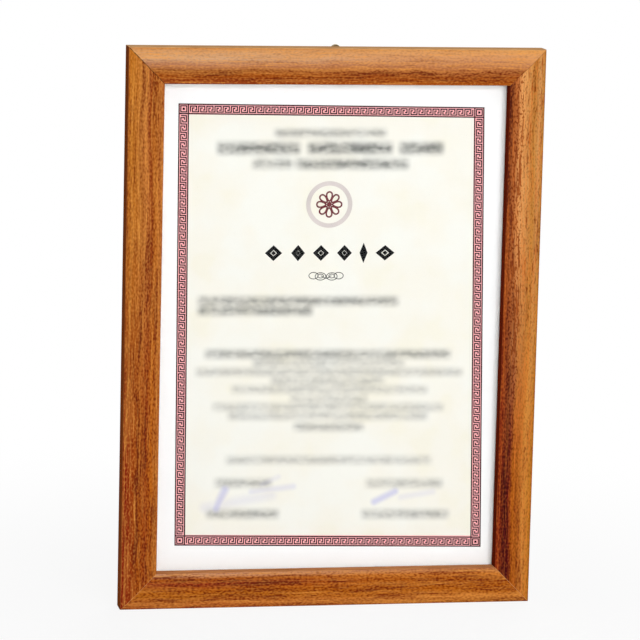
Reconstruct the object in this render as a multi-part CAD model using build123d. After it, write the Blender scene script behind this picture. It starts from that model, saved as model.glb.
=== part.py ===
"""A wooden certificate frame for an A4 sheet, hung on a wall by a ring.

Millimetres. +X runs to the right as the viewer sees the front, +Y runs into
the wall and +Z is up. The origin is where a wall hook carries the ring: under
the middle of the ring's crown, in the plane of its wire.

Four mitred rails of one moulding hold the glass, the sheet, a filler card and
a backing board in their rebate. Six turn buttons lock the board from behind,
and two V-nails pull each mitre together. A folded strap on the top rail
carries the ring, and two felt pads keep the frame off the wall.
"""
import os
from math import cos, radians, sin, tan

from build123d import *

# The sheet and the space that it has in the rebate
SHEET_WIDTH = 210.0
SHEET_HEIGHT = 297.0
SHEET_THICKNESS = 0.3
SHEET_SIDE_CLEARANCE = 1.3
SHEET_END_CLEARANCE = 0.3

# What lies in front of the sheet and behind it
GLASS_THICKNESS = 2.0
GLASS_CLEARANCE = 0.5
CARD_THICKNESS = 0.5
CARD_CLEARANCE = 0.8
BOARD_THICKNESS = 2.5
BOARD_CLEARANCE = 0.4

# The moulding: a broad shallow dome outside, a slope down and a bead at the sight edge
RAIL_WIDTH = 21.4
REBATE_WIDTH = 4.0
SIDE_DEPTH = 13.0
CROWN_RISE = 1.5
SHOULDER_DROP = 0.25
VALLEY_DROP = 1.7
BEAD_RISE = 0.35
CROWN_WIDTH_SHARE = 0.40
SHOULDER_WIDTH_SHARE = 0.60
VALLEY_WIDTH_SHARE = 0.88
OUTER_ARRIS_RADIUS = 1.1
SHOULDER_RADIUS = 4.0
VALLEY_RADIUS = 2.5
BEAD_RADIUS = 0.8
BACK_ARRIS_RADIUS = 0.5

# V-nails, driven from the back across each mitre
NAIL_LEG = 4.5
NAIL_THICKNESS = 0.5
NAIL_DEPTH = 7.0
NAIL_SINK = 0.3
NAIL_CLEARANCE = 0.02
NAIL_INSET_SHARES = (0.26, 0.60)

# Turn buttons
BUTTON_THICKNESS = 1.0
BUTTON_WIDTH = 8.0
BUTTON_REACH = 15.5
BUTTON_RIB_HEIGHT = 0.5
BUTTON_RIB_WIDTH = 2.4
BUTTON_GAP = 0.1
BUTTON_SPREAD = 58.0

# The screws that the buttons turn on and the one that holds the strap, all alike
SCREW_RADIUS = 1.5
SCREW_LENGTH = 10.7
SCREW_TIP_LENGTH = 2.5
SCREW_TIP_RADIUS = 0.3
SCREW_HEAD_RADIUS = 2.6
SCREW_HEAD_HEIGHT = 1.7
SCREW_RECESS_WIDTH = 0.7
SCREW_RECESS_LENGTH = 3.2
SCREW_RECESS_DEPTH = 0.9
SCREW_RUNNING_CLEARANCE = 0.06

# The ring, bent from one wire, and how far its crown stands above the frame
WIRE_RADIUS = 0.7
RING_PROUD = 1.1
RING_SIDE_ANGLE = 31.0
RING_CROWN_RADIUS = 2.4
RING_FOOT_RADIUS = 1.4

# The strap, folded round the foot of the ring, and how far its screw lies from the rebate
STRAP_WIDTH = 7.4
STRAP_THICKNESS = 0.6
STRAP_WIRE_CLEARANCE = 0.08
STRAP_FOLD_ANGLE = 60.0
STRAP_SCREW_DROP = 4.7
STRAP_SCREW_MARGIN = 3.1
STRAP_TAIL = 2.7
STRAP_CORNER_RADIUS = 1.6

# Felt pads on the bottom rail
PAD_RADIUS = 5.0
PAD_THICKNESS = 3.0
PAD_SIDE_INSET = 16.5

# How far a cutting body runs past what it cuts
OVERRUN = 1.0

# Worked out from the sizes above
REBATE_OPENING_WIDTH = SHEET_WIDTH + 2 * SHEET_SIDE_CLEARANCE
REBATE_OPENING_HEIGHT = SHEET_HEIGHT + 2 * SHEET_END_CLEARANCE
REBATE_DEPTH = GLASS_THICKNESS + SHEET_THICKNESS + CARD_THICKNESS + BOARD_THICKNESS
RAIL_BACK_WIDTH = RAIL_WIDTH - REBATE_WIDTH
RAIL_MIDDLE = RAIL_BACK_WIDTH / 2
FRAME_WIDTH = REBATE_OPENING_WIDTH + 2 * RAIL_BACK_WIDTH
FRAME_HEIGHT = REBATE_OPENING_HEIGHT + 2 * RAIL_BACK_WIDTH
FRAME_DEPTH = SIDE_DEPTH + CROWN_RISE
BUTTON_GRIP = BUTTON_THICKNESS + 2 * BUTTON_GAP
STRAP_GRIP = 2 * STRAP_THICKNESS
LOOP_INNER_RADIUS = WIRE_RADIUS + STRAP_WIRE_CLEARANCE
LOOP_OUTER_RADIUS = LOOP_INNER_RADIUS + STRAP_THICKNESS

# Places in the part's own frame
TOP_Z = 2 * WIRE_RADIUS - RING_PROUD
CENTRE_Z = TOP_Z - FRAME_HEIGHT / 2
BOTTOM_Z = TOP_Z - FRAME_HEIGHT
BACK_Y = -LOOP_OUTER_RADIUS
REBATE_FLOOR_Y = BACK_Y - REBATE_DEPTH
STRAP_SCREW_Z = TOP_Z - RAIL_BACK_WIDTH + STRAP_SCREW_MARGIN
STRAP_END_Z = STRAP_SCREW_Z - STRAP_TAIL
RING_FOOT_Z = STRAP_SCREW_Z + STRAP_SCREW_DROP
RING_HEIGHT = WIRE_RADIUS - RING_FOOT_Z

# Each side of the frame, a quarter turn after the one before: its length, and
# how far its outer face lies from the middle of the frame
QUARTER_TURN_ANGLE = 90.0
SIDES = {
    "top": (FRAME_WIDTH, FRAME_HEIGHT / 2),
    "right": (FRAME_HEIGHT, FRAME_WIDTH / 2),
    "bottom": (FRAME_WIDTH, FRAME_HEIGHT / 2),
    "left": (FRAME_HEIGHT, FRAME_WIDTH / 2),
}

# Each corner: the level rail and the upright rail that meet there
CORNERS = {
    "top_left": ("top", "left"),
    "top_right": ("top", "right"),
    "bottom_right": ("bottom", "right"),
    "bottom_left": ("bottom", "left"),
}

# Each turn button: the side that it sits on, and its place along that side
BUTTONS = {
    "top_left": ("top", -BUTTON_SPREAD),
    "top_right": ("top", BUTTON_SPREAD),
    "right": ("right", 0.0),
    "bottom_right": ("bottom", -BUTTON_SPREAD),
    "bottom_left": ("bottom", BUTTON_SPREAD),
    "left": ("left", 0.0),
}


def moulding_profile():
    """Section of the moulding: X runs in from its outer side, Y forward from its back."""
    outer_corner = (0, SIDE_DEPTH)
    crown = (RAIL_WIDTH * CROWN_WIDTH_SHARE, FRAME_DEPTH)
    shoulder = (RAIL_WIDTH * SHOULDER_WIDTH_SHARE, FRAME_DEPTH - SHOULDER_DROP)
    valley = (RAIL_WIDTH * VALLEY_WIDTH_SHARE, FRAME_DEPTH - VALLEY_DROP)
    bead = (RAIL_WIDTH, FRAME_DEPTH - VALLEY_DROP + BEAD_RISE)
    roundings = {
        (0, 0): BACK_ARRIS_RADIUS,
        outer_corner: OUTER_ARRIS_RADIUS,
        shoulder: SHOULDER_RADIUS,
        valley: VALLEY_RADIUS,
        bead: BEAD_RADIUS,
    }
    with BuildSketch() as section:
        with BuildLine():
            Line((0, 0), outer_corner)
            ThreePointArc(outer_corner, crown, shoulder)
            Polyline(
                shoulder,
                valley,
                bead,
                (RAIL_WIDTH, REBATE_DEPTH),
                (RAIL_BACK_WIDTH, REBATE_DEPTH),
                (RAIL_BACK_WIDTH, 0),
                (0, 0),
            )
        make_face()
        for place, radius in roundings.items():
            fillet(section.vertices().sort_by_distance(place)[0], radius)
    return section.sketch


def side_turn(side):
    """The turn that takes a shape made for the top to its own side of the frame."""
    turns = list(SIDES).index(side)
    return Pos(0, 0, CENTRE_Z) * Rot(0, turns * QUARTER_TURN_ANGLE, 0)


def mitred_stick(side):
    """A length of the moulding, cut at 45 degrees at both ends, on its side of the frame."""
    length, reach = SIDES[side]
    half = length / 2
    end = Plane(origin=(half, BACK_Y, reach), x_dir=(0, 0, -1), z_dir=(-1, 0, 0))
    stick = extrude(end * moulding_profile(), amount=length)
    outline = Polyline(
        (-half, reach),
        (half, reach),
        (half - RAIL_WIDTH, reach - RAIL_WIDTH),
        (RAIL_WIDTH - half, reach - RAIL_WIDTH),
        close=True,
    )
    front = Plane(origin=(0, BACK_Y - FRAME_DEPTH - OVERRUN, 0), x_dir=(1, 0, 0), z_dir=(0, -1, 0))
    wedge = extrude(front * make_face(outline.edges()), amount=-(FRAME_DEPTH + 2 * OVERRUN))
    return side_turn(side) * (stick & wedge)


def rail(side):
    """One rail, with the pilot holes of its screws and the slots of its V-nails."""
    solid = mitred_stick(side)
    for place, grip in screw_seats(side):
        solid -= place * pilot_hole(grip)
    for corner, sides in CORNERS.items():
        if side in sides:
            for share in NAIL_INSET_SHARES:
                solid -= v_nail(corner, share, NAIL_CLEARANCE, NAIL_SINK + OVERRUN)
    return solid


def v_nail(corner, share, clearance=0.0, extra_depth=0.0):
    """A V-nail: two legs that run along the two rails of a corner from one point of the mitre."""
    level_side, upright_side = CORNERS[corner]
    in_x = 1 if upright_side == "left" else -1
    in_z = -1 if level_side == "top" else 1
    inset = RAIL_BACK_WIDTH * share
    apex_x = in_x * (inset - FRAME_WIDTH / 2)
    apex_z = CENTRE_Z + in_z * (inset - FRAME_HEIGHT / 2)
    thickness = NAIL_THICKNESS + 2 * clearance
    leg = NAIL_LEG + thickness / 2
    shift = (leg - thickness) / 2
    depth = NAIL_DEPTH + extra_depth
    middle_y = BACK_Y - NAIL_SINK - NAIL_DEPTH + depth / 2
    level_leg = Pos(apex_x + in_x * shift, middle_y, apex_z) * Box(leg, depth, thickness)
    upright_leg = Pos(apex_x, middle_y, apex_z + in_z * shift) * Box(thickness, depth, leg)
    return level_leg + upright_leg


def v_nails():
    """The V-nails of all the corners, two to a corner."""
    return Compound(children=[v_nail(corner, share) for corner in CORNERS for share in NAIL_INSET_SHARES])


def rebate_pane(thickness, front_y, clearance):
    """A flat pane in the rebate, with one clearance all round."""
    width = REBATE_OPENING_WIDTH - 2 * clearance
    height = REBATE_OPENING_HEIGHT - 2 * clearance
    return Pos(0, front_y + thickness / 2, CENTRE_Z) * Box(width, thickness, height)


def glass_pane():
    """The glass, against the front of the rebate."""
    return rebate_pane(GLASS_THICKNESS, REBATE_FLOOR_Y, GLASS_CLEARANCE)


def certificate_sheet():
    """The sheet, flat behind the glass."""
    middle_y = REBATE_FLOOR_Y + GLASS_THICKNESS + SHEET_THICKNESS / 2
    return Pos(0, middle_y, CENTRE_Z) * Box(SHEET_WIDTH, SHEET_THICKNESS, SHEET_HEIGHT)


def backing_card():
    """The filler card between the sheet and the board."""
    front_y = BACK_Y - BOARD_THICKNESS - CARD_THICKNESS
    return rebate_pane(CARD_THICKNESS, front_y, CARD_CLEARANCE)


def backing_board():
    """The board, level with the backs of the rails."""
    return rebate_pane(BOARD_THICKNESS, BACK_Y - BOARD_THICKNESS, BOARD_CLEARANCE)


def button_pivot(name):
    """Where a button's pivot meets the rail: Z points out of the back and X into the frame."""
    side, along = BUTTONS[name]
    from_middle = SIDES[side][1] - RAIL_MIDDLE
    back = Plane(origin=(along, BACK_Y, from_middle), x_dir=(0, 0, -1), z_dir=(0, 1, 0))
    return side_turn(side) * back.location


def turn_button(name):
    """A pressed plate with a round tail about its pivot, a round tip and a stiffening rib."""
    between = BUTTON_REACH - BUTTON_WIDTH / 2
    outline = Pos(between / 2, 0) * SlotCenterToCenter(between, BUTTON_WIDTH)
    plate = extrude(outline, amount=BUTTON_THICKNESS)
    rib_start = SCREW_HEAD_RADIUS + BUTTON_RIB_WIDTH / 2
    rib_end = BUTTON_REACH - BUTTON_RIB_WIDTH
    rib_height = BUTTON_THICKNESS + BUTTON_RIB_HEIGHT
    rib = Pos((rib_start + rib_end) / 2, 0, rib_height / 2) * Box(
        rib_end - rib_start, BUTTON_RIB_WIDTH, rib_height
    )
    rib = chamfer(rib.edges().group_by(Axis.Z)[-1], BUTTON_RIB_HEIGHT / 2)
    hole = Cylinder(SCREW_RADIUS + SCREW_RUNNING_CLEARANCE, 2 * (BUTTON_THICKNESS + OVERRUN))
    return button_pivot(name) * Pos(0, 0, BUTTON_GAP) * (plate + rib - hole)


def strap_screw_place():
    """Where the strap's screw enters the back of the top rail."""
    return Plane(origin=(0, BACK_Y, STRAP_SCREW_Z), x_dir=(0, 0, -1), z_dir=(0, 1, 0)).location


def screw_seats(side):
    """Where screws enter the rail of one side, and how far each head stands off it."""
    seats = [(button_pivot(name), BUTTON_GRIP) for name in BUTTONS if BUTTONS[name][0] == side]
    if side == "top":
        seats.append((strap_screw_place(), STRAP_GRIP))
    return seats


def pilot_hole(grip):
    """What is drilled for a screw whose head stands off the wood by its grip."""
    depth = SCREW_LENGTH - grip
    return Pos(0, 0, -depth / 2) * Cylinder(SCREW_RADIUS, depth)


def screw():
    """A flat-topped screw with a crossed recess, the underside of its head at the origin."""
    half_section = Polyline(
        (0, -SCREW_LENGTH),
        (SCREW_TIP_RADIUS, -SCREW_LENGTH),
        (SCREW_RADIUS, SCREW_TIP_LENGTH - SCREW_LENGTH),
        (SCREW_RADIUS, 0),
        (SCREW_HEAD_RADIUS, 0),
        (SCREW_HEAD_RADIUS, SCREW_HEAD_HEIGHT),
        (0, SCREW_HEAD_HEIGHT),
        close=True,
    )
    turned = revolve(Plane.XZ * make_face(half_section.edges()), axis=Axis.Z)
    slot = Pos(0, 0, SCREW_HEAD_HEIGHT) * Box(
        SCREW_RECESS_LENGTH, SCREW_RECESS_WIDTH, 2 * SCREW_RECESS_DEPTH
    )
    return turned - slot - Rot(0, 0, QUARTER_TURN_ANGLE) * slot


def screws():
    """The screws that the turn buttons swing on, and the one that holds the strap."""
    seats = [seat for side in SIDES for seat in screw_seats(side)]
    return Compound(children=[place * Pos(0, 0, grip) * screw() for place, grip in seats])


def strap_lean(radius, stop):
    """Where the strap leaves a circle about the wire, leaning in, and where it meets a depth."""
    lean = radians(STRAP_FOLD_ANGLE)
    leave = (LOOP_OUTER_RADIUS + radius * cos(lean), -radius * sin(lean))
    meet = (stop, leave[1] - (leave[0] - stop) / tan(lean))
    return leave, meet


def strap_side_view():
    """Side view of the folded strap: X out from the rail's back, Y up from the wire's middle."""
    middle = (LOOP_OUTER_RADIUS, 0)
    end = STRAP_END_Z - RING_FOOT_Z
    both = 2 * STRAP_THICKNESS
    outer_leave, outer_meet = strap_lean(LOOP_OUTER_RADIUS, both)
    inner_leave, inner_meet = strap_lean(LOOP_INNER_RADIUS, STRAP_THICKNESS)
    web = Polyline((0, 0), (0, end), (both, end), outer_meet, outer_leave, middle, close=True)
    pocket = Polyline((STRAP_THICKNESS, 0), inner_meet, inner_leave, middle, close=True)
    outside = make_face(web.edges()) + Pos(*middle) * Circle(LOOP_OUTER_RADIUS)
    inside = make_face(pocket.edges()) + Pos(*middle) * Circle(LOOP_INNER_RADIUS)
    return outside - inside


def hanger_strap():
    """A steel strip folded round the ring's foot, with both ends under one screw."""
    side = Plane(origin=(-STRAP_WIDTH / 2, BACK_Y, RING_FOOT_Z), x_dir=(0, 1, 0), z_dir=(1, 0, 0))
    strap = extrude(side * strap_side_view(), amount=STRAP_WIDTH)
    strap -= strap_screw_place() * Cylinder(
        SCREW_RADIUS + SCREW_RUNNING_CLEARANCE, 4 * STRAP_THICKNESS + OVERRUN
    )
    ends = strap.edges().filter_by(Axis.Y).group_by(Axis.Z)[0]
    return fillet(ends, STRAP_CORNER_RADIUS)


def hanger_ring():
    """A three-sided ring of round wire, its foot in the strap's fold and its crown rounded."""
    lean = radians(RING_SIDE_ANGLE)
    apex = RING_HEIGHT + RING_CROWN_RADIUS * (1 / sin(lean) - 1)
    foot = apex * tan(lean)
    face = make_face(Polyline((-foot, 0), (foot, 0), (0, apex), close=True).edges())
    for place, radius in (
        ((-foot, 0), RING_FOOT_RADIUS),
        ((foot, 0), RING_FOOT_RADIUS),
        ((0, apex), RING_CROWN_RADIUS),
    ):
        face = fillet(face.vertices().sort_by_distance(place)[0], radius)
    plane = Plane(origin=(0, 0, RING_FOOT_Z), x_dir=(1, 0, 0), z_dir=(0, -1, 0))
    path = (plane * face).face().outer_wire()
    section = Plane(origin=path @ 0, z_dir=path % 0) * Circle(WIRE_RADIUS)
    return sweep(section, path=path)


def felt_pad(hand):
    """A round felt pad on the back of the bottom rail, on the left (-1) or the right (1)."""
    pad = Cylinder(PAD_RADIUS, PAD_THICKNESS, align=(Align.CENTER, Align.CENTER, Align.MIN))
    place = Plane(
        origin=(hand * (FRAME_WIDTH / 2 - PAD_SIDE_INSET), BACK_Y, BOTTOM_Z + RAIL_MIDDLE),
        x_dir=(1, 0, 0),
        z_dir=(0, 1, 0),
    )
    return place.location * pad


def build():
    """Every piece of the frame by its node's name."""
    pieces = {f"{side}_rail": rail(side) for side in SIDES}
    pieces["glass_pane"] = glass_pane()
    pieces["certificate_sheet"] = certificate_sheet()
    pieces["backing_card"] = backing_card()
    pieces["backing_board"] = backing_board()
    pieces["v_nails"] = v_nails()
    for name in BUTTONS:
        pieces[f"turn_button_{name}"] = turn_button(name)
    pieces["screws"] = screws()
    pieces["hanger_strap"] = hanger_strap()
    pieces["hanger_ring"] = hanger_ring()
    pieces["left_felt_pad"] = felt_pad(-1)
    pieces["right_felt_pad"] = felt_pad(1)
    return pieces


os.makedirs("parts", exist_ok=True)
for node, shape in build().items():
    export_step(shape, f"parts/{node}.step")
    print(f"{node}: {shape.volume:.1f} cubic mm")
print(f"frame {FRAME_WIDTH:.1f} x {FRAME_DEPTH:.1f} x {FRAME_HEIGHT:.1f}")
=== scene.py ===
"""Dressed model of a glazed certificate frame.

It has stained mitred rails, a printed sheet behind glass, a turn-button back and a hanging ring.
"""
import logging
import math
from collections.abc import Callable, Sequence
from dataclasses import dataclass, field
from enum import Enum
from functools import reduce
from typing import ClassVar

import bmesh
import bpy
from mathutils import Matrix, Vector


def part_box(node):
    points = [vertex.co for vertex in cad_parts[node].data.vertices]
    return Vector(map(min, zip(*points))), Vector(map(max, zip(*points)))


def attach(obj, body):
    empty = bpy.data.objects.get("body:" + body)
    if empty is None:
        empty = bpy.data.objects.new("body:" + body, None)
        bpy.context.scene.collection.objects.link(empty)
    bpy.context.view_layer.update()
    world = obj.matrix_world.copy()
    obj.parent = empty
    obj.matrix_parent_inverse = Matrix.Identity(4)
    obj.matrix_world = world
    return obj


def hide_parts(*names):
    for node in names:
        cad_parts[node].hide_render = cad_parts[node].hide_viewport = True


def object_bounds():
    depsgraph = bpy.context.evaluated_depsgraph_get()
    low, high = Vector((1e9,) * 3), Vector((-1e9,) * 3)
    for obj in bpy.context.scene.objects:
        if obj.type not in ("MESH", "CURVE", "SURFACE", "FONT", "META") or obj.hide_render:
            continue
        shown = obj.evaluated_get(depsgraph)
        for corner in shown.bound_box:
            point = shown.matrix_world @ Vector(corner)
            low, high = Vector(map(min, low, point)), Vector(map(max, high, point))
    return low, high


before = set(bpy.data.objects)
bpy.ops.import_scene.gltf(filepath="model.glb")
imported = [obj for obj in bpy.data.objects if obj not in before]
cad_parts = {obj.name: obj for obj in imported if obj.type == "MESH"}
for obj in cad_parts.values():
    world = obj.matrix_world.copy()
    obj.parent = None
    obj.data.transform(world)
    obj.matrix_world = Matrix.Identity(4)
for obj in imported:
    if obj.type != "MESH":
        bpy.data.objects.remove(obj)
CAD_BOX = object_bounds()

log = logging.getLogger("certificate_frame")

MM = 0.001
# How far one printed line stands over another that it crosses, in millimetres.
LIFT = 0.004
Rgba = tuple[float, float, float, float]
Point = tuple[float, float]
Stops = tuple[tuple[float, Rgba], ...]
Link = bpy.types.NodeSocket
Material = bpy.types.Material


def shown(red: float, green: float, blue: float) -> Rgba:
    """Turns a shown red, green and blue, from 0 to 255, into the linear colour that a node takes."""
    parts = (part / 255 for part in (red, green, blue))
    return (*(part / 12.92 if part <= 0.04045 else ((part + 0.055) / 1.055) ** 2.4 for part in parts), 1.0)


def even(level: float) -> Rgba:
    """Gives a grey with one linear level in its three parts."""
    return (level, level, level, 1.0)


def bands(*stops: tuple[float, float, float, float]) -> Stops:
    """Gives bands of colour from places in millimetres, each with its shown red, green and blue."""
    return tuple((place, shown(*colour)) for place, *colour in stops)


def operator(name: str, turned: bool = False) -> Callable[..., "Value"]:
    """Makes a Python operator on values that adds a Math node.

    Args:
        name: Blender's name for the operation.
        turned: Whether the value comes last, as in 1 - mask.

    Returns:
        The operator as a method.
    """

    def apply(value: "Value", *others: "Number") -> "Value":
        """Adds the node and gives its result."""
        return value.shader.math(name, *others, value) if turned else value.shader.math(name, value, *others)

    return apply


@dataclass(frozen=True, eq=False)
class Value:
    """A number that changes over a surface, on which Python's operators add Math nodes."""

    shader: "Shader"
    link: Link

    __add__, __radd__ = operator("ADD"), operator("ADD", turned=True)
    __sub__, __rsub__ = operator("SUBTRACT"), operator("SUBTRACT", turned=True)
    __mul__, __rmul__ = operator("MULTIPLY"), operator("MULTIPLY", turned=True)
    __truediv__, __rtruediv__ = operator("DIVIDE"), operator("DIVIDE", turned=True)
    __pow__, __rpow__ = operator("POWER"), operator("POWER", turned=True)
    __abs__ = operator("ABSOLUTE")
    least, most = operator("MINIMUM"), operator("MAXIMUM")

    def rise(self, low: float, high: float) -> "Value":
        """Climbs smoothly from 0 at the low level to 1 at the high one."""
        inputs = {"Value": self, "From Min": low, "From Max": high}
        return self.shader.value("ShaderNodeMapRange", {"interpolation_type": "SMOOTHSTEP"}, inputs)

    def fall(self, low: float, high: float) -> "Value":
        """Drops smoothly from 1 at the low level to 0 at the high one."""
        return 1 - self.rise(low, high)


Number = Value | float
Settings = dict[str, object]
Sockets = dict[str | int, Number | Link | tuple]


class Shader:
    """The nodes of one material or world, and short ways to add to them."""

    def __init__(self, name: str, world: bpy.types.World | None = None) -> None:
        """Starts an empty material, or empties a world's nodes.

        Args:
            name: The material's name.
            world: The world whose nodes are made instead of a material's.
        """
        self.material = world or bpy.data.materials.new(name)
        self.material.use_nodes = True
        self.tree = self.material.node_tree
        self.tree.nodes.clear()

    def node(
        self, kind: str, settings: Settings | None = None, inputs: Sockets | None = None
    ) -> bpy.types.bpy_prop_collection:
        """Adds a node, sets it up and fills its sockets.

        Args:
            kind: Blender's name for the node type.
            settings: Properties set before the sockets. "stops" holds a ramp's places and colours.
            inputs: A value or a link for each named or numbered input socket.

        Returns:
            The new node's outputs, by number or name.
        """
        made = self.tree.nodes.new(kind)
        for key, value in (settings or {}).items():
            if key == "stops":
                self.set_stops(made.color_ramp.elements, value)
            else:
                setattr(made, key, value)
        for key, value in (inputs or {}).items():
            if isinstance(value, Value):
                value = value.link
            if isinstance(value, Link):
                self.tree.links.new(value, made.inputs[key])
            else:
                made.inputs[key].default_value = value
        return made.outputs

    def value(self, kind: str, settings: Settings | None, inputs: Sockets) -> Value:
        """Adds a node with its settings and sockets, and gives the number that it makes."""
        return Value(self, self.node(kind, settings, inputs)[0])

    @staticmethod
    def set_stops(elements: bpy.types.ColorRampElements, stops: Stops) -> None:
        """Sets a ramp's stops.

        Args:
            elements: The ramp's stops.
            stops: Places from 0 to 1 in rising order, each with its colour.
        """
        while len(elements) < len(stops):
            elements.new(1.0)
        for element, (place, colour) in zip(elements, stops):
            element.position = place
            element.color = colour

    def math(self, operation: str, *values: Number) -> Value:
        """Adds one Math node and gives its result."""
        return self.value("ShaderNodeMath", {"operation": operation}, dict(enumerate(values)))

    def split(self, vector: Link) -> tuple[Value, ...]:
        """Takes a vector apart into its X, Y and Z."""
        return tuple(Value(self, part) for part in self.node("ShaderNodeSeparateXYZ", None, {0: vector}))

    def axes(self) -> tuple[Value, ...]:
        """Gives the place on the object at rest.

        Returns:
            The place along X, Y and Z, in millimetres.
        """
        place = self.node("ShaderNodeTexCoord")["Object"]
        scaled = self.node("ShaderNodeVectorMath", {"operation": "SCALE"}, {0: place, "Scale": 1 / MM})
        return self.split(scaled[0])

    def facing(self) -> tuple[Value, ...]:
        """Gives the surface's direction on the object, along X, Y and Z."""
        return self.split(self.node("ShaderNodeTexCoord")["Normal"])

    def noise(
        self, place: Sequence[Number], detail: float = 2.0, roughness: float = 0.5, warp: float = 0.0
    ) -> Value:
        """Adds soft noise with features about one unit apart.

        Args:
            place: The place along three axes, already scaled to the noise.
            detail: How many finer layers it has.
            roughness: How strong the finer layers are.
            warp: How far it is distorted.

        Returns:
            The noise, around 0.5.
        """
        vector = self.node("ShaderNodeCombineXYZ", None, dict(enumerate(place)))[0]
        inputs = {"Vector": vector, "Scale": 1.0, "Detail": detail, "Roughness": roughness}
        return self.value("ShaderNodeTexNoise", None, inputs | {"Distortion": warp})

    def mix(self, factor: Number, first: Link | Rgba, second: Link | Rgba, blend: str = "MIX") -> Link:
        """Mixes two colours, the factor being the second one's share, and blend how it acts on the first."""
        settings = {"data_type": "RGBA", "blend_type": blend, "clamp_factor": True}
        return self.node("ShaderNodeMix", settings, {0: factor, 6: first, 7: second})[2]

    def coats(self, colour: Link | Rgba, *coats: tuple[Number, Link | Rgba]) -> Link:
        """Lays coats over a colour, each given as its share and its own colour."""
        return reduce(lambda under, coat: self.mix(coat[0], under, coat[1]), coats, colour)

    def bump(self, height: Value, strength: float, reach: float) -> Link:
        """Turns a height from 0 to 1 into a direction, with its strength and its reach in millimetres."""
        inputs = {"Strength": strength, "Distance": reach * MM, "Height": height}
        return self.node("ShaderNodeBump", None, inputs)[0]

    def surface(
        self, colour: Link, roughness: Number, normal: Link | None = None, more: Sockets | None = None
    ) -> Material:
        """Ends the material with one Principled surface.

        Args:
            colour: Its colour.
            roughness: Its roughness.
            normal: Its direction, where bumps change it.
            more: Values and links for its other sockets.

        Returns:
            The finished material.
        """
        inputs = {"Base Color": colour, "Roughness": roughness} | (more or {})
        if normal is not None:
            inputs["Normal"] = normal
        return self.end(self.node("ShaderNodeBsdfPrincipled", None, inputs)[0])

    def blend(self, share: Value, first: Link, second: Link) -> Material:
        """Ends the material with a mix of two surfaces, in which the second one has the share."""
        return self.end(self.node("ShaderNodeMixShader", None, {0: share, 1: first, 2: second})[0])

    def end(self, surface: Link) -> Material:
        """Links a surface to the output and gives the finished material."""
        self.node("ShaderNodeOutputMaterial", None, {"Surface": surface})
        return self.material


class Side(Enum):
    """The four sides of the frame, clockwise, each with its direction outwards along X and Z."""

    TOP = (0, 1)
    RIGHT = (1, 0)
    BOTTOM = (0, -1)
    LEFT = (-1, 0)

    @property
    def node(self) -> str:
        """Names the rail on this side."""
        return f"{self.name.lower()}_rail"


@dataclass(frozen=True)
class Joint:
    """The look of one mitre line on a rail."""

    colour: Rgba
    strength: float
    half_width: float = 0.3


DARK_LINE = Joint(shown(40, 18, 8), 0.95, 0.55)
BROWN_LINE = Joint(shown(110, 62, 34), 0.6)
LIGHT_LINE = Joint(shown(214, 160, 104), 0.55)


@dataclass(frozen=True, eq=False)
class RailPlace:
    """A point's place along a rail, across it and in depth, and half the rail's length, in millimetres."""

    along: Value
    across: Value
    depth: Value
    half: float


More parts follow.
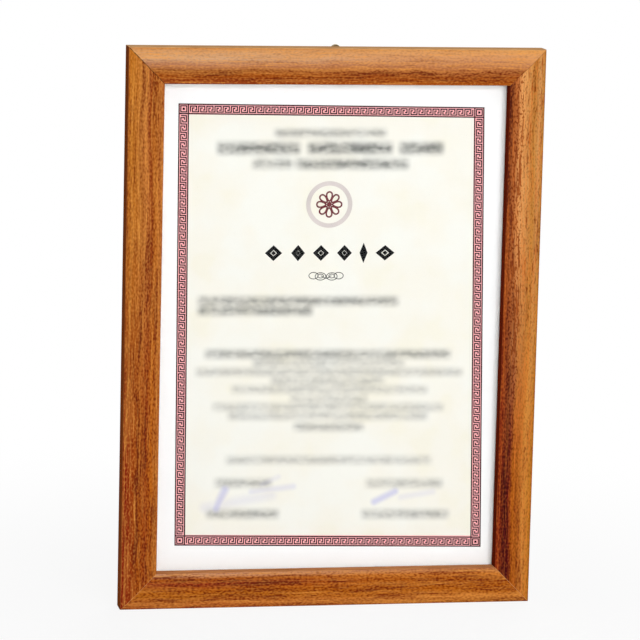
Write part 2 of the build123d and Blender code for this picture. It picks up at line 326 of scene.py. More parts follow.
@dataclass(frozen=True)
class StainedWood:
    """Satin-lacquered stained hardwood on one rail, with pores and streaks along the rail.

    The colour bands run from the outer side to the sight edge and hold the stain together with painted
    highlights and painted shade across the profile. Pairs are for the rail's first and last end, along X or
    Z;
    the change between them is partly the wood's tone and partly a painted light falloff along the rail.
    """

    side: Side
    seed: float
    # Bands at the rail's first and last end: stain, with painted highlights where the profile faces the light
    # and painted shade where it faces away.
    stains_and_shading: tuple[Stops, Stops]
    # Outer side colour: lighter on the top rail as painted light from above, darker on the other sides as
    # stain and painted shade.
    side_stain_and_shading: Rgba
    # Sight wall colour: stain, darker on the right rail as painted shade and lighter on the bottom rail as
    # painted light from above.
    sight_stain_and_shading: Rgba
    joints: tuple[Joint, Joint]
    figure: Point
    figure_start: float = 11.5
    plain: float = 0.6
    contrast: float = 1.2
    light: Rgba = shown(226, 152, 68)
    dark: Rgba = shown(172, 130, 106)
    raw: Rgba = shown(196, 160, 116)
    raw_fibre: Rgba = shown(158, 116, 74)
    saw_mark: Rgba = shown(150, 112, 74)
    width: float = 21.4
    shine: float = 0.008
    darkest: float = 0.002

    def places(self, shader: Shader) -> RailPlace:
        """Gives the places on this rail.

        Args:
            shader: The rail's shader.

        Returns:
            The places, worked out from the object's own axes.
        """
        low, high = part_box(self.side.node)
        x, y, z = shader.axes()
        outward_x, outward_z = self.side.value
        if outward_x:
            edge = (high.x if outward_x > 0 else -low.x) / MM
            along = z - (low.z + high.z) / 2 / MM
            return RailPlace(along, edge - outward_x * x, 0 - y, (high.z - low.z) / 2 / MM)
        edge = (high.z if outward_z > 0 else -low.z) / MM
        return RailPlace(x, edge - outward_z * z, 0 - y, (high.x - low.x) / 2 / MM)

    def under_lacquer(self, colour: Rgba) -> Rgba:
        """Takes the lacquer's even shine off a colour that is given as it looks in a white room."""
        return (*(max(self.darkest, part - self.shine) for part in colour[:3]), 1.0)

    def ramp(self, across: Value, stops: Stops) -> Link:
        """Gives the colour across the rail from stops placed in millimetres."""
        placed = [(place / self.width, self.under_lacquer(colour)) for place, colour in stops]
        return across.shader.node("ShaderNodeValToRGB", {"stops": placed}, {0: across / self.width})[0]

    def grain(self, along: Value, across: Value, size: Point, detail: float, shift: float) -> Value:
        """Gives noise of a length and width along the rail, with a shift that sets it apart from others."""
        return along.shader.noise((along / size[0], across / size[1], self.seed + shift), detail, 0.6)

    def material(self) -> Material:
        """Builds the rail's wood.

        Returns:
            A material with bands of stain, painted highlight and painted shade, figure, dashes, pores,
            mitre lines, sides coloured with stain, painted light and painted shade, and a bare back.
        """
        shader = Shader(f"{self.side.node}_wood")
        at = self.places(shader)
        along, across = at.along, at.across
        middle = across.rise(1.0, 6.0) * across.fall(15.0, 20.0)
        wavy = across + (self.grain(along, across, (38.0, 30.0), 1.0, 0.0) - 0.5) * middle * 5.0
        share = (along / at.half * 0.5 + 0.5).rise(0.18, 0.82)
        # The bands hold painted highlights and painted shade; mixing the two ends adds a painted light
        # falloff along the rail.
        first, last = (self.ramp(wavy, stops) for stops in self.stains_and_shading)
        colour = shader.mix(share, first, last)

        figure = wavy.rise(self.figure_start, self.figure_start + 1.6) * across.fall(18.6, 20.2)
        figure = figure * (self.figure[0] + share * (self.figure[1] - self.figure[0]))
        broad = self.grain(along, wavy, (60.0, 5.0), 2.0, 1.0)
        streak = self.grain(along, wavy, (80.0, 1.9), 1.0, 6.0)
        patch = self.grain(along, wavy, (20.0, 1.7), 2.0, 2.0)
        dash = self.grain(along, wavy, (7.0, 1.1), 1.0, 3.0)
        speck = self.grain(along, across, (1.7, 1.0), 0.0, 4.0)
        thread = self.grain(along, across, (24.0, 0.8), 1.0, 5.0)
        weight = self.plain + figure * (1 - self.plain)
        crowd = broad.rise(0.40, 0.62)

        dark = broad.rise(0.46, 0.66) * 0.24 + streak.rise(0.50, 0.64) * (0.12 + crowd * 0.22)
        dark = dark + patch.rise(0.52, 0.64) * (0.24 + crowd * 0.42)
        dark = dark + dash.rise(0.53, 0.66) * (0.26 + crowd * 0.38) + speck.rise(0.50, 0.70) * 0.55
        colour = shader.mix((dark * weight * self.contrast).least(1.0), colour, self.dark, "MULTIPLY")
        pale = streak.fall(0.36, 0.50) * 0.24 + thread.rise(0.54, 0.68) * 0.34 + speck.fall(0.30, 0.48) * 0.26
        colour = shader.mix(pale * (1 - figure * 0.45), colour, self.light)

        colour = self.mitre_lines(at, colour)
        colour, front = self.dress_faces(shader, at, colour)
        pores = speck.rise(0.56, 0.70) * 0.6 + dash.rise(0.58, 0.72) * 0.4
        return shader.surface(
            colour,
            (0.52 + pores * 0.2 + (1 - front) * 0.3).least(1.0),
            shader.bump(0.7 - pores * 0.5 + (thread - 0.5) * 0.2, 0.4, 0.05),
            {"Specular IOR Level": 0.0, "Coat Weight": front * (0.20 - pores * 0.10), "Coat Roughness": 0.3},
        )

    def mitre_lines(self, at: RailPlace, colour: Link) -> Link:
        """Draws the hairlines where the rail meets its neighbours.

        Args:
            at: The places on the rail.
            colour: The wood's colour so far.

        Returns:
            The colour with its mitre lines.
        """
        for way, joint in zip((-1, 1), self.joints):
            gap = abs(at.across - (at.half - way * at.along))
            broken = self.grain(at.along, at.across, (3.0, 3.0), 1.0, 9.0 + way).rise(0.30, 0.50)
            line = gap.fall(0.05, joint.half_width) * broken * joint.strength
            colour = line.shader.mix(line, colour, joint.colour)
        return colour

    def dress_faces(self, shader: Shader, at: RailPlace, colour: Link) -> tuple[Link, Value]:
        """Colours the outer side and the sight wall with stain, painted light and painted shade, and leaves
        the back bare with saw marks across it.

        Args:
            shader: The rail's shader.
            at: The places on the rail.
            colour: The front's colour.

        Returns:
            The colour on every face, and the front's share at each point.
        """
        facing_x, facing_y, facing_z = shader.facing()
        outward_x, outward_z = self.side.value
        outward = facing_x * outward_x if outward_x else facing_z * outward_z
        streak = shader.noise((at.along / 18, at.across / 2, at.depth / 0.7 + self.seed), 3.0, 0.6)
        tint = shader.mix(streak.rise(0.40, 0.66) * 0.6, even(1.0), self.dark)
        # The outer side and the sight wall take colours that hold painted light and painted shade besides the
        # stain.
        for towards, stain in ((outward, self.side_stain_and_shading), (0 - outward, self.sight_stain_and_shading)):
            colour = shader.mix(towards.rise(0.55, 0.9), colour, shader.mix(1.0, stain, tint, "MULTIPLY"))

        fibre = self.grain(at.along, at.across, (16.0, 0.8), 3.0, 6.0)
        saw = self.grain(at.along, at.across, (0.9, 9.0), 1.0, 7.0)
        fibres, saw_marks = fibre.rise(0.38, 0.66) * 0.6, saw.rise(0.52, 0.74) * 0.16
        raw = shader.coats(self.raw, (fibres, self.raw_fibre), (saw_marks, self.saw_mark))
        runs = shader.noise((at.along / 6, 0.0, self.seed + 3))
        over = at.across.fall(0.0, 0.6 + 1.6 * runs)
        bare = facing_y.rise(0.55, 0.85)
        return shader.mix(bare * (1 - over * 0.7), colour, raw), (0 - facing_y).rise(0.45, 0.8)


@dataclass(frozen=True)
class ClearGlass:
    """Picture glass that lets the sheet show and mirrors a little of the room."""

    mirror: float = 1.25
    tint: Rgba = (0.997, 1.0, 0.998, 1.0)

    def material(self) -> Material:
        """Builds the glass.

        Returns:
            A clear material with a faint smeared reflection.
        """
        shader = Shader("clear_glass")
        x, y, z = shader.axes()
        smear = shader.noise((x / 34, y / 34, z / 60), 3.0, 0.6)
        roughness = 0.02 + smear.rise(0.45, 0.8) * 0.05
        clear = shader.node("ShaderNodeBsdfTransparent", None, {"Color": self.tint})[0]
        gloss = shader.node("ShaderNodeBsdfGlossy", None, {"Color": even(1.0), "Roughness": roughness})[0]
        fresnel = shader.value("ShaderNodeFresnel", None, {"IOR": self.mirror})
        leaving = Value(shader, shader.node("ShaderNodeNewGeometry")["Backfacing"])
        return shader.blend(fresnel * (1 - leaving), clear, gloss)


@dataclass(frozen=True)
class SoftBar:
    """One line of the sheet's print as a soft unreadable bar, in millimetres from the frame's centre."""

    left: float
    left_level: float
    right: float
    right_level: float
    half: float
    strength: float
    softness: float = 3.0

    def ink(self, x: Value, z: Value) -> Value:
        """Gives the bar's ink at each point.

        Args:
            x: The place across.
            z: The place up.

        Returns:
            The ink, from 0 to the bar's strength.
        """
        soft = self.softness
        lean = (self.right_level - self.left_level) / (self.right - self.left)
        level = abs(z - x * lean - (self.left_level - self.left * lean))
        ends = x.rise(self.left - soft, self.left + soft) * x.fall(self.right - soft, self.right + soft)
        return ends * level.fall(self.half - soft, self.half + soft) * self.strength


@dataclass(frozen=True)
class PenStroke:
    """One soft stroke of a pen, between two places in millimetres from the frame's centre."""

    start: Point
    stop: Point
    half: float
    strength: float

    def ink(self, x: Value, z: Value) -> Value:
        """Gives the stroke's ink at each point.

        Args:
            x: The place across.
            z: The place up.

        Returns:
            The ink, from 0 to the stroke's strength.
        """
        (ax, az), (bx, bz) = self.start, self.stop
        length = math.dist(self.start, self.stop)
        way_x, way_z = (bx - ax) / length, (bz - az) / length
        along = (x - ax) * way_x + (z - az) * way_z
        beyond = (0 - along).most(along - length).most(0.0)
        aside = (x - ax) * way_z - (z - az) * way_x
        return ((beyond * beyond + aside * aside) ** 0.5).fall(0.0, self.half) * self.strength


@dataclass(frozen=True)
class Corners:
    """A four-cornered area of the print.

    Its corners run clockwise from the upper left, in millimetres from the frame's centre.
    """

    loop: tuple[Point, Point, Point, Point]

    def turned(self, quarters: int) -> "Corners":
        """Gives the same area read from a later corner, so that another edge is its upper one."""
        return Corners(self.loop[quarters:] + self.loop[:quarters])

    @property
    def width(self) -> float:
        """Gives the mean length of the upper and lower edges."""
        return (math.dist(*self.loop[:2]) + math.dist(*self.loop[2:])) / 2

    @property
    def height(self) -> float:
        """Gives the mean length of the left and right edges."""
        return self.turned(1).width

    def place(self, across: float, down: float) -> Point:
        """Gives the place at a distance across from the left edge and down from the upper edge.

        Args:
            across: The distance across, in millimetres.
            down: The distance down, in millimetres.

        Returns:
            The place, in millimetres from the frame's centre.
        """
        far, low = across / self.width, down / self.height
        shares = ((1 - low) * (1 - far), (1 - low) * far, low * far, low * (1 - far))
        x, z = (sum(share * corner[axis] for share, corner in zip(shares, self.loop)) for axis in (0, 1))
        return (x, z)

    def box(self, middle: Point, reach: Point) -> list[Point]:
        """Gives a box's corners from its middle and its reach both ways, across and down."""
        ways = ((-1, -1), (1, -1), (1, 1), (-1, 1))
        return [self.place(middle[0] + a * reach[0], middle[1] + d * reach[1]) for a, d in ways]

    def inside(self, x: Value, z: Value) -> Value:
        """Gives how far a point lies inside the four edges.

        Args:
            x: The place across, in millimetres from the centre.
            z: The place up, in millimetres from the centre.

        Returns:
            The distance to the nearest edge, in millimetres, less than 0 outside.
        """
        distances = []
        for (ax, az), (bx, bz) in zip(self.loop, self.turned(1).loop):
            length = math.dist((ax, az), (bx, bz))
            inward_x, inward_z = (bz - az) / length, -(bx - ax) / length
            distances.append((x - ax) * inward_x + (z - az) * inward_z)
        return reduce(Value.least, distances)


BORDER_OUTSIDE = Corners(((-92.78, 132.63), (89.53, 131.08), (95.56, -134.35), (-90.54, -130.14)))
BORDER_INSIDE = Corners(((-86.79, 126.19), (83.31, 124.99), (89.04, -127.29), (-84.56, -123.70)))
SEAL_CENTRE = (-2.25, 73.4)


@dataclass(frozen=True)
class PrintedPaper:
    """Heavy white paper with a cream field, a pink border ground and soft lines of print."""

    centre_z: float
    bars: tuple[SoftBar, ...]
    strokes: tuple[PenStroke, ...]
    paper: Rgba = shown(251, 252, 253)
    ground: Rgba = shown(255, 185, 188)
    cream: Rgba = shown(243, 240, 230)
    pale_cream: Rgba = shown(243, 242, 235)
    deep_cream: Rgba = shown(242, 238, 223)
    grey: Rgba = shown(96, 98, 96)
    pen: Rgba = shown(150, 150, 222)
    edge: float = 0.05

    def material(self) -> Material:
        """Builds the printed sheet.

        Returns:
            A material with its margin, field, border ground, soft bars and pen strokes.
        """
        shader = Shader("printed_paper")
        x, y, z = shader.axes()
        z = z - self.centre_z
        fibre = shader.noise((x / 0.5, y, z / 0.5), 3.0, 0.6)
        mottle = shader.noise((x / 26, y, z / 26))
        pale, deep = mottle.rise(0.42, 0.66), mottle.fall(0.30, 0.44) * 0.7
        creams = shader.coats(self.cream, (pale, self.pale_cream), (deep, self.deep_cream))
        areas = (BORDER_OUTSIDE, BORDER_INSIDE)
        border, inner = (area.inside(x, z).rise(-self.edge, self.edge) for area in areas)
        colour = shader.coats(self.paper, (border, self.ground), (inner, creams))
        colour = shader.mix(fibre.rise(0.35, 0.75) * 0.03, colour, even(0.5), "MULTIPLY")

        words = shader.noise((x / 7.5, y, z / 4.4), 1.0)
        letters = shader.noise((x / 3.0, y, z / 2.8), 0.0)
        lumps = 0.70 + words.rise(0.34, 0.62) * 0.32 + (letters - 0.5) * 0.30
        print_ink = reduce(Value.__add__, [bar.ink(x, z) for bar in self.bars])
        pen_ink = reduce(Value.most, [stroke.ink(x, z) for stroke in self.strokes])
        colour = shader.coats(colour, (print_ink * lumps, self.grey), (pen_ink, self.pen))
        roughness = 0.62 + (fibre - 0.5) * 0.2
        return shader.surface(colour, roughness, shader.bump(fibre, 0.15, 0.02), {"Specular IOR Level": 0.3})


@dataclass(frozen=True)
class PrintInk:
    """Printing ink in one colour, a little uneven where the paper took less of it."""

    name: str
    colour: Rgba
    pale: Rgba
    unevenness: float

    def material(self) -> Material:
        """Builds the ink.

        Returns:
            A matt material with its colour varying a little.
        """
        shader = Shader(self.name)
        x, y, z = shader.axes()
        broad = shader.noise((x / 14, y, z / 14))
        grain = shader.noise((x / 0.35, y, z / 0.35), 2.0, 0.6)
        share = (broad.rise(0.35, 0.68) * 0.7 + grain.rise(0.45, 0.8) * 0.5) * self.unevenness
        colour = shader.mix(share, self.colour, self.pale)
        return shader.surface(colour, 0.80 + (grain - 0.5) * 0.2, more={"Specular IOR Level": 0.05})


@dataclass(frozen=True)
class FillerCard:
    """Plain grey-white card with short fibres."""

    def material(self) -> Material:
        """Builds the card.

        Returns:
            A matt fibrous material.
        """
        shader = Shader("filler_card")
        x, y, z = shader.axes()
        fibre = shader.noise((x / 1.4, y / 0.4, z / 0.4), 3.0, 0.65)
        speck = shader.noise((x / 0.5, y / 0.5, z / 0.9))
        colour = shader.coats(
            shown(226, 222, 212),
            (fibre.rise(0.38, 0.68), shown(204, 199, 187)),
            (speck.rise(0.66, 0.74) * 0.6, shown(150, 140, 122)),
        )
        return shader.surface(colour, 0.85, shader.bump(fibre, 0.3, 0.05))


@dataclass(frozen=True)
class Hardboard:
    """Brown hardboard, its pressed face mottled and its sawn edge fibrous."""

    def material(self) -> Material:
        """Builds the board.

        Returns:
            A material with pressed fibres, darker flecks and a dull sheen.
        """
        shader = Shader("hardboard")
        x, y, z = shader.axes()
        cloud = shader.noise((x / 30, y / 30, z / 30), 3.0, 0.6)
        fibre_a = shader.noise((x / 2.6, y / 0.4, z / 0.38), 3.0, 0.7, 0.8)
        fibre_b = shader.noise((x / 0.38, y / 0.4, z / 2.2 + 40), 3.0, 0.7, 0.8)
        fleck = shader.noise((x / 0.9, y / 0.9, z / 1.6 + 9), 1.0)
        fibres = fibre_a.rise(0.40, 0.68) * 0.5 + fibre_b.rise(0.40, 0.68) * 0.5
        colour = shader.coats(
            shown(136, 97, 64),
            (cloud.rise(0.3, 0.7) * 0.6, shown(120, 83, 53)),
            (fibres * 0.6, shown(92, 58, 36)),
            (fleck.rise(0.68, 0.76) * 0.7, shown(66, 40, 26)),
            (fleck.fall(0.24, 0.32) * 0.5, shown(176, 134, 92)),
        )
        normal = shader.bump(fibres, 0.35, 0.05)
        return shader.surface(colour, 0.48 + fibres * 0.25, normal, {"Specular IOR Level": 0.4})


@dataclass(frozen=True)
class PlatedSteel:
    """Plated steel sheet or wire with fine drawing lines, dull spots and rubbed marks."""

    name: str
    bright: Rgba
    dull: Rgba
    stain: Rgba
    roughness: float
    spot_size: float = 2.4
    line_gap: float = 0.22

    def material(self) -> Material:
        """Builds the metal.

        Returns:
            A metal with drawing lines, spots and small scratches.
        """
        shader = Shader(self.name)
        x, y, z = shader.axes()
        spots = shader.noise((x / self.spot_size, y / self.spot_size, z / self.spot_size), 3.0, 0.65)
        lines = shader.noise((x / 9, y / self.line_gap, z / self.line_gap), 2.0, 0.6)
        rubs = shader.noise(((x + z) / 0.16, y / 3, (x - z) / 5), 1.0).rise(0.70, 0.78)
        colour = shader.coats(
            self.bright,
            (spots.rise(0.42, 0.66), self.dull),
            (spots.fall(0.26, 0.36) * 0.6, self.stain),
            (rubs * 0.4, self.bright),
        )
        roughness = self.roughness + spots.rise(0.4, 0.7) * 0.14 + (lines - 0.5) * 0.16
        normal = shader.bump(lines * 0.7 + rubs * 0.3, 0.25, 0.01)
        return shader.surface(colour, roughness.most(0.12), normal, {"Metallic": 1.0})


@dataclass(frozen=True)
class PressedFelt:
    """Dark pressed felt with matted fibres and pale lint."""

    def material(self) -> Material:
        """Builds the felt.

        Returns:
            A soft material with matted fibres.
        """
        shader = Shader("pressed_felt")
        x, y, z = shader.axes()
        mat = shader.noise((x / 0.5, y / 0.5, z / 0.5), 4.0, 0.7, 1.2)
        lint = shader.noise((x / 0.18, y / 0.18, z / 1.2), 2.0, 0.6, 1.5)
        colour = shader.coats(
            shown(46, 42, 40),
            (mat.rise(0.35, 0.7), shown(86, 80, 76)),
            (lint.rise(0.66, 0.74) * 0.5, shown(128, 120, 112)),
        )
        sheen = {"Specular IOR Level": 0.1, "Sheen Weight": 0.5, "Sheen Roughness": 0.4}
        return shader.surface(colour, 0.95, shader.bump(mat * 0.7 + lint * 0.3, 0.8, 0.25), sheen)


def place_object(name: str, data: bpy.types.ID) -> bpy.types.Object:
    """Puts a new object into the scene.

    Args:
        name: Its name.
        data: Its mesh, lamp or camera.

    Returns:
        The object.
    """
    made = bpy.data.objects.new(name, data)
    bpy.context.scene.collection.objects.link(made)
    return made


def make_piece(name: str, mesh: bmesh.types.BMesh, material: Material) -> bpy.types.Object:
    """Turns a built mesh into an object in the scene.

    Args:
        name: The object's name.
        mesh: Its mesh, which is freed.
        material: Its finish.

    Returns:
        The new object.
    """
    data = bpy.data.meshes.new(name)
    mesh.to_mesh(data)
    mesh.free()
    data.materials.append(material)
    return place_object(name, data)


def report(piece: bpy.types.Object) -> None:
    """Logs a piece's name and its number of faces."""
    log.info("%s: %d faces", piece.name, len(piece.data.polygons))


def dress(node: str, material: Material) -> None:
    """Gives a CAD node its finish.

    Args:
        node: The node's name.
        material: The finish.
    """
    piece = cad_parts[node]
    for item in piece.material_slots:
        item.material = material
    report(piece)


@dataclass
class Moulding:
    """The four mitred rails, each cut from its own length of stained timber, with painted light and shade in
    their colours.
    """

    timbers: tuple[StainedWood, ...] = (
        # Top rail: a painted highlight along the outer crown, and painted light on its outer side.
        StainedWood(
            Side.TOP, 3.0,
            (bands((0, 190, 120, 65), (2, 205, 150, 100), (6, 205, 160, 120), (10, 180, 120, 85),
                   (12.5, 165, 100, 50), (16, 160, 80, 15), (20, 140, 60, 5)),
             bands((0, 210, 150, 90), (4, 210, 150, 100), (8, 190, 130, 90), (12.5, 180, 110, 60),
                   (16.5, 150, 70, 5), (20, 160, 80, 5))),
            shown(240, 188, 130), shown(160, 90, 40), (DARK_LINE, BROWN_LINE), figure=(0.6, 0.9), plain=0.3,
        ),
        # Right rail: painted shade on the inner slope and the sight wall, darker towards the lower end as
        # painted light falloff.
        StainedWood(
            Side.RIGHT, 14.0,
            (bands((0, 170, 108, 30), (5, 205, 135, 60), (9, 160, 88, 30), (12, 165, 88, 25),
                   (14, 115, 10, 5), (16, 80, 5, 5), (20, 135, 50, 15)),
             bands((0, 180, 120, 45), (3, 205, 150, 90), (6, 190, 130, 60), (9.5, 210, 150, 85),
                   (13.5, 225, 160, 95), (17, 180, 105, 55), (20.5, 95, 40, 20))),
            shown(172, 92, 44), shown(110, 36, 16), (LIGHT_LINE, BROWN_LINE), figure=(1.0, 0.7),
            plain=0.34, contrast=2.1, light=shown(212, 112, 40),
        ),
        # Bottom rail: painted light on the bead and the sight wall, which face up.
        StainedWood(
            Side.BOTTOM, 25.0,
            (bands((0, 145, 60, 5), (3, 190, 110, 50), (8, 175, 100, 30), (12, 170, 90, 5),
                   (15.5, 140, 50, 5), (18, 165, 85, 5), (20, 200, 145, 110)),
             bands((0, 165, 100, 40), (4, 200, 125, 55), (8, 175, 95, 10), (15.5, 170, 90, 5),
                   (18, 205, 125, 50), (20, 180, 115, 75))),
            shown(172, 92, 44), shown(202, 138, 88), (LIGHT_LINE, LIGHT_LINE), figure=(1.0, 0.7),
            figure_start=4.0, contrast=1.25,
        ),
        # Left rail: darker towards the lower end as painted light falloff.
        StainedWood(
            Side.LEFT, 36.0,
            (bands((0, 145, 55, 20), (2, 140, 45, 5), (10, 160, 80, 5), (14, 150, 65, 15), (17, 180, 95, 15),
                   (20, 170, 95, 40)),
             bands((0, 175, 100, 40), (2, 190, 115, 40), (9, 170, 100, 45), (11.5, 190, 115, 55),
                   (14, 140, 60, 5), (16.5, 185, 110, 45), (20, 180, 105, 50))),
            shown(180, 94, 44), shown(170, 96, 44), (LIGHT_LINE, DARK_LINE), figure=(0.95, 0.4),
            figure_start=7.0, plain=0.5, contrast=1.25,
        ),
    )

    def build(self) -> None:
        """Dresses the four rails."""
        for timber in self.timbers:
            dress(timber.side.node, timber.material())


def skin(mesh: bmesh.types.BMesh, rings: Sequence[Sequence[bmesh.types.BMVert]], closed: bool = True) -> None:
    """Joins each ring of vertices to the next one with faces.

    Args:
        mesh: The mesh that the vertices belong to.
        rings: The rings, alike in length apart from a single vertex at a pole.
        closed: Whether each ring's end joins its start.
    """
    for near, far in zip(rings, rings[1:]):
        count = max(len(near), len(far))
        for i in range(count if closed else count - 1):
            j = (i + 1) % count
            corners = (near[i % len(near)], near[j % len(near)], far[j % len(far)], far[i % len(far)])
            mesh.faces.new(list(dict.fromkeys(corners)))


@dataclass
class InkLayer:
    """Printed shapes of one ink, each a thin closed prism on the sheet's front face, in millimetres."""

    face_y: float
    centre_z: float
    thickness: float = 0.02
    sharpest: float = 0.3
    mesh: bmesh.types.BMesh = field(default_factory=bmesh.new)
    name: ClassVar[str]
    ink: ClassVar[PrintInk]

    def draw(self) -> None:
        """Adds the layer's shapes."""
        raise NotImplementedError

    def ring(self, points: Sequence[Point], height: float) -> list[bmesh.types.BMVert]:
        """Adds one vertex for each point at a height in front of the sheet's face."""
        y = (self.face_y - height) * MM
        return [self.mesh.verts.new((x * MM, y, (z + self.centre_z) * MM)) for x, z in points]

    def patch(self, outline: Sequence[Point]) -> None:
        """Adds a filled convex shape.

        Args:
            outline: Its corners, in order.
        """
        rings = [self.ring(outline, height) for height in (self.thickness, 0.0)]
        for ring in rings:
            self.mesh.faces.new(ring)
        skin(self.mesh, rings)

    def ribbon(self, path: Sequence[Point], width: float, closed: bool = True, lift: float = 0.0) -> None:
        """Adds a line of even width with mitred turns.

        Args:
            path: The line's middle, in order.
            width: Its width.
            closed: Whether its end joins its start.
            lift: Extra thickness.
        """
        count = len(path)
        ways = [self.way(path[i], path[(i + 1) % count]) for i in range(count if closed else count - 1)]
        edges: tuple[list[Point], list[Point]] = ([], [])
        for i, (x, z) in enumerate(path):
            inward, onward = ways[i - 1 if i or closed else 0], ways[min(i, len(ways) - 1)]
            aside_x, aside_z = -(inward[1] + onward[1]), inward[0] + onward[0]
            size = math.hypot(aside_x, aside_z)
            aside_x, aside_z = aside_x / size, aside_z / size
            reach = width / 2 / max(self.sharpest, aside_x * -inward[1] + aside_z * inward[0])
            for edge, sign in zip(edges, (1, -1)):
                edge.append((x + sign * aside_x * reach, z + sign * aside_z * reach))
        left, right, left_foot, right_foot = (
            self.ring(edge, height) for height in (self.thickness + lift, 0.0) for edge in edges
        )
        if not closed:
            for end in (0, -1):
                self.mesh.faces.new((left[end], right[end], right_foot[end], left_foot[end]))
        skin(self.mesh, (left, right, right_foot, left_foot, left), closed)

    @staticmethod
    def way(start: Point, stop: Point) -> Point:
        """Gives the unit direction from one place to another."""
        length = math.dist(start, stop)
        return ((stop[0] - start[0]) / length, (stop[1] - start[1]) / length)

    def build(self) -> None:
        """Makes the layer's piece in its ink and rides it on the frame."""
        self.draw()
        bmesh.ops.recalc_face_normals(self.mesh, faces=self.mesh.faces)
        piece = make_piece(self.name, self.mesh, self.ink.material())
        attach(piece, "frame")
        report(piece)


@dataclass
class Meander(InkLayer):
    """The border of running keys, with squares in its corners.

    A key's turns are given in steps along the border and in rows from its inner line.
    """

    name = "meander_border"
    ink = PrintInk("maroon_ink", shown(38, 0, 8), shown(70, 10, 24), 0.45)
    outside: Corners = BORDER_OUTSIDE
    band: float = 6.3
    frame_line: float = 0.76
    key_line: float = 0.70
    key: tuple[tuple[int, int], ...] = ((2, 1), (3, 1), (3, 3), (0, 3), (0, 0), (-3, 0), (-3, 2), (-2, 2))
    key_steps: int = 4
    rows: int = 5
    top_units: int = 35
    side_units: int = 51
    square_half: float = 1.75
    core_half: float = 0.68

    def draw(self) -> None:
        """Adds the running keys, the frame lines and the corner squares."""
        self.keys()
        self.frame_lines()
        self.squares()

    def keys(self) -> None:
        """Adds the running keys, with half a key at each end of a side."""
        edge = self.frame_line / 2
        inner = self.band - edge
        row = (inner - edge) / self.rows
        for quarters, units in enumerate((self.top_units, self.side_units) * 2):
            side = self.outside.turned(quarters)
            step = (side.width - 2 * inner) / (self.key_steps * units + 2)
            for unit in range(units + 1):
                begin, end = 3 if unit == units else 0, 5 if unit == 0 else len(self.key)
                start = self.key_steps * unit + 1
                path = [
                    side.place(inner + (start + turn) * step, edge + (self.rows - 1 - rise) * row)
                    for turn, rise in self.key[begin:end]
                ]
                self.ribbon(path, self.key_line, closed=False)

    def frame_lines(self) -> None:
        """Adds the border's outer and inner lines."""
        place, wide, tall = self.outside.place, self.outside.width, self.outside.height
        edge = self.frame_line / 2
        inner = self.band - edge
        outline = self.outside.box((wide / 2, tall / 2), (wide / 2 - edge, tall / 2 - edge))
        self.ribbon(outline, self.frame_line)
        for down in (inner, tall - inner):
            self.ribbon([place(edge, down), place(wide - edge, down)], self.frame_line, False, LIFT)
        for across in (inner, wide - inner):
            self.ribbon([place(across, edge), place(across, tall - edge)], self.frame_line, False, 2 * LIFT)

    def squares(self) -> None:
        """Adds an open square with a solid core in each corner."""
        middle = self.band / 2
        for across in (middle, self.outside.width - middle):
            for down in (middle, self.outside.height - middle):
                self.ribbon(self.outside.box((across, down), (self.square_half,) * 2), self.key_line)
                self.patch(self.outside.box((across, down), (self.core_half,) * 2))


def oval(centre: Point, reach_x: float, reach_z: float, count: int) -> list[Point]:
    """Lists an oval's points from its centre and its reach both ways. Four points make a lozenge."""
    angles = [math.tau * i / count for i in range(count)]
    return [(centre[0] + reach_x * math.cos(a), centre[1] + reach_z * math.sin(a)) for a in angles]


@dataclass
class TitleLozenges(InkLayer):
    """The title's row of open lozenges with solid cores."""

    name = "title_lozenges"
    ink = PrintInk("black_ink", shown(10, 10, 12), shown(26, 26, 28), 0.4)
    spans: tuple[Point, ...] = (
        (-40.0, -29.7), (-24.5, -15.9), (-11.4, -1.6), (3.0, 12.2), (16.2, 21.9), (26.4, 37.6),
    )
    low: float = 39.8
    high: float = 49.4
    line: float = 2.1
    core: float = 0.30

    def draw(self) -> None:
        """Adds the lozenges."""
        tall = (self.high - self.low) / 2
        for left, right in self.spans:
            centre, wide = ((left + right) / 2, (self.low + self.high) / 2), (right - left) / 2
            self.ribbon(oval(centre, wide - self.line * 0.75, tall - self.line * 0.75, 4), self.line)
            self.patch(oval(centre, wide * self.core, tall * self.core, 4))


@dataclass
class Knot(InkLayer):
    """The knot of four interlaced ovals, with an eye in each half and a wave between them."""

    name = "knot_ornament"
    ink = PrintInk("dark_grey_ink", shown(36, 36, 34), shown(90, 90, 86), 0.5)
    centre: Point = (-3.05, 30.76)
    line: float = 0.42
    ovals: tuple[Sequence[float], ...] = (
        (-7.6, 0.35, 2.75, 1.95), (-3.4, -0.1, 3.2, 2.2), (3.4, -0.15, 3.2, 2.2), (7.5, 0.3, 2.75, 1.95),
    )
    eyes: tuple[Sequence[float], ...] = ((-3.3, 0.1, 1.7, 1.15), (3.3, 0.1, 1.7, 1.15))
    wave: tuple[float, float, float] = (3.2, 0.55, 0.75)

    def draw(self) -> None:
        """Adds the ovals, the eyes and the wave."""
        centre_x, centre_z = self.centre
        for count, loops in ((32, self.ovals), (24, self.eyes)):
            for number, (x, z, reach_x, reach_z) in enumerate(loops):
                lift = LIFT * (number % 2) if loops is self.ovals else 0.0
                self.ribbon(oval((centre_x + x, centre_z + z), reach_x, reach_z, count), self.line, lift=lift)
        reach, drop, swing = self.wave
        shares = [i / 8 - 1 for i in range(17)]
        wave = [(centre_x + reach * t, centre_z - drop - swing * math.cos(math.pi * t)) for t in shares]
        self.ribbon(wave, self.line, False, 2 * LIFT)


@dataclass
class SealRing(InkLayer):
    """The seal's pale band."""

    name = "seal_ring"
    ink = PrintInk("pale_grey_ink", shown(208, 199, 196), shown(224, 213, 210), 0.8)
    radius: float = 12.5
    band: float = 2.6

    def draw(self) -> None:
        """Adds the band, its middle at the radius."""
        self.ribbon(oval(SEAL_CENTRE, self.radius, self.radius, 64), self.band)


